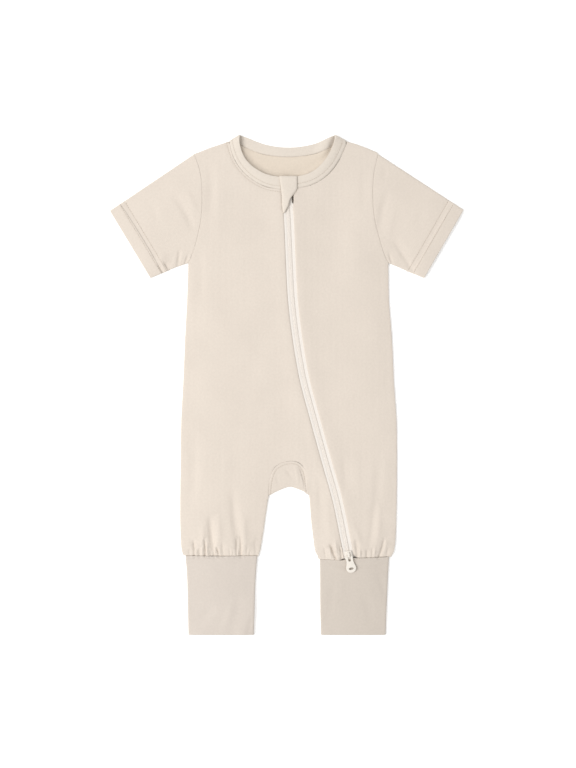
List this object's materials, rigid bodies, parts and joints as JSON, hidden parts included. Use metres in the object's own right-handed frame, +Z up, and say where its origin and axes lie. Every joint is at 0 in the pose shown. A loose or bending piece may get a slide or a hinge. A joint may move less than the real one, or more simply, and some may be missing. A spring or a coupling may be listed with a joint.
{
  "type": "baby zip romper",
  "caption": "Short-sleeve footless baby romper laid flat, closed by a zip that slants from the neck to one leg cuff.",
  "frame": {"origin": "middle of the laid-out garment's footprint, on the surface it lies on", "axes": "+Y up the body towards the neck, +X towards the wearer's left, +Z up from the surface, out of the garment's front"},
  "size_m": [0.3856, 0.545, 0.0099],
  "materials": {
    "back_panel": "soft plain-knit jersey, matt",
    "front_right_panel": "soft plain-knit jersey, matt",
    "front_left_panel": "soft plain-knit jersey, matt",
    "gusset": "soft plain-knit jersey, matt",
    "sleeve_right": "soft plain-knit jersey, matt",
    "sleeve_left": "soft plain-knit jersey, matt",
    "neckband": "folded knit band, matt",
    "cuff_right": "doubled interlock knit, matt",
    "cuff_left": "doubled interlock knit, matt",
    "zip_garage": "folded jersey flap, matt",
    "zip_tape_right": "woven polyester zip tape",
    "zip_tape_left": "woven polyester zip tape",
    "zip_chain": "nylon coil teeth",
    "zip_slider": "cream lacquer on cast zinc",
    "zip_pull_tab": "cream lacquer on cast zinc"
  },
  "bodies": {
    "garment": {"back_panel": "back_panel", "front_right_panel": "front_right_panel", "front_left_panel": "front_left_panel", "gusset": "gusset", "sleeve_right": "sleeve_right", "sleeve_left": "sleeve_left", "neckband": "neckband", "cuff_right": "cuff_right", "cuff_left": "cuff_left", "zip_garage": "zip_garage", "zip_tape_right": "zip_tape_right", "zip_tape_left": "zip_tape_left", "zip_chain": "zip_chain", "zip_slider": "zip_slider"},
    "pull_tab": {"zip_pull_tab": "zip_pull_tab"}
  },
  "joints": [
    {"name": "pull_tab_hinge", "type": "hinge", "parent": "garment", "child": "pull_tab", "pos_m": [0.06753, -0.18643, 0.0075], "axis": [-0.9813, -0.1925, 0], "range_deg": [0, 170]}
  ]
}
